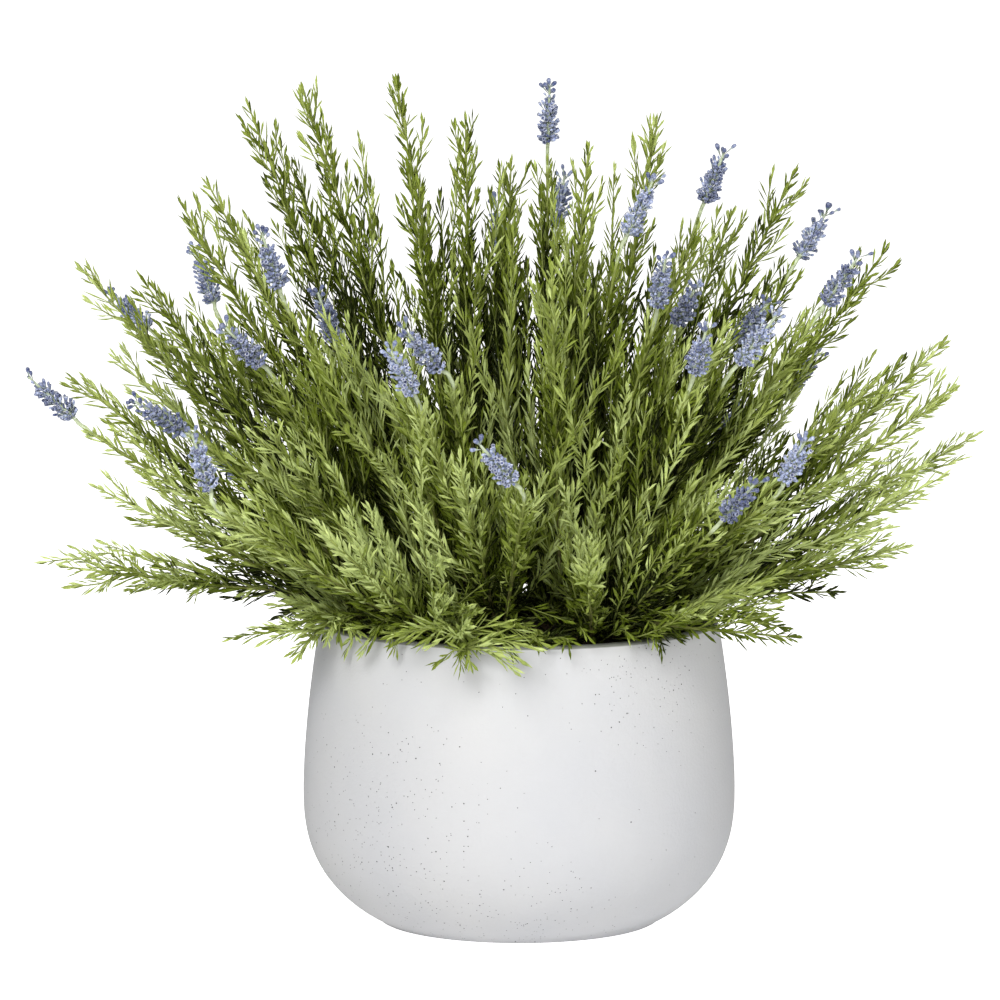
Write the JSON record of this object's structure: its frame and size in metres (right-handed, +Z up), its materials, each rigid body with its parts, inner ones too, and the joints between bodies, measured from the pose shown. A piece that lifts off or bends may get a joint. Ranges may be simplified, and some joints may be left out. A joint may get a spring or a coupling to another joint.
{
  "type": "potted lavender",
  "caption": "Round matte pot of soil holding a domed bush of lavender: leafy branches that fan out and spill over the rim, with tapered flower heads on bare stalks.",
  "frame": {"origin": "on the pot's axis, in the flat underside of its foot", "axes": "+Z up along the pot's axis; +X to the viewer's right and +Y away from the viewer, seen from the front"},
  "size_m": [0.5767, 0.4534, 0.512],
  "materials": {
    "pot": "matte",
    "soil": "matte",
    "leaves": "matte",
    "flowers": "matte"
  },
  "bodies": {
    "root": {"pot": "pot", "soil": "soil", "leafy_branch_01": "leaves", "leafy_branch_02": "leaves", "leafy_branch_03": "leaves", "leafy_branch_04": "leaves", "leafy_branch_05": "leaves", "leafy_branch_06": "leaves", "leafy_branch_07": "leaves", "leafy_branch_08": "leaves", "leafy_branch_09": "leaves", "leafy_branch_10": "leaves", "leafy_branch_11": "leaves", "leafy_branch_12": "leaves", "leafy_branch_13": "leaves", "leafy_branch_14": "leaves", "leafy_branch_15": "leaves", "leafy_branch_16": "leaves", "leafy_branch_17": "leaves", "leafy_branch_18": "leaves", "leafy_branch_19": "leaves", "leafy_branch_20": "leaves", "leafy_branch_21": "leaves", "leafy_branch_22": "leaves", "leafy_branch_23": "leaves", "leafy_branch_24": "leaves", "leafy_branch_25": "leaves", "leafy_branch_26": "leaves", "leafy_branch_27": "leaves", "leafy_branch_28": "leaves", "flower_head_01": "flowers", "flower_head_02": "flowers", "flower_head_03": "flowers", "flower_head_04": "flowers", "flower_head_05": "flowers", "flower_head_06": "flowers", "flower_head_07": "flowers", "flower_head_08": "flowers", "flower_head_09": "flowers", "flower_head_10": "flowers", "flower_head_11": "flowers", "flower_head_12": "flowers", "flower_head_13": "flowers", "flower_head_14": "flowers", "flower_head_15": "flowers", "flower_head_16": "flowers", "flower_head_17": "flowers", "flower_head_18": "flowers", "flower_head_19": "flowers", "flower_head_20": "flowers", "flower_head_21": "flowers", "flower_head_22": "flowers", "flower_head_23": "flowers", "flower_head_24": "flowers", "flower_head_25": "flowers", "flower_head_26": "flowers", "flower_head_27": "flowers", "flower_head_28": "flowers", "flower_head_29": "flowers", "flower_head_30": "flowers"}
  },
  "joints": []
}
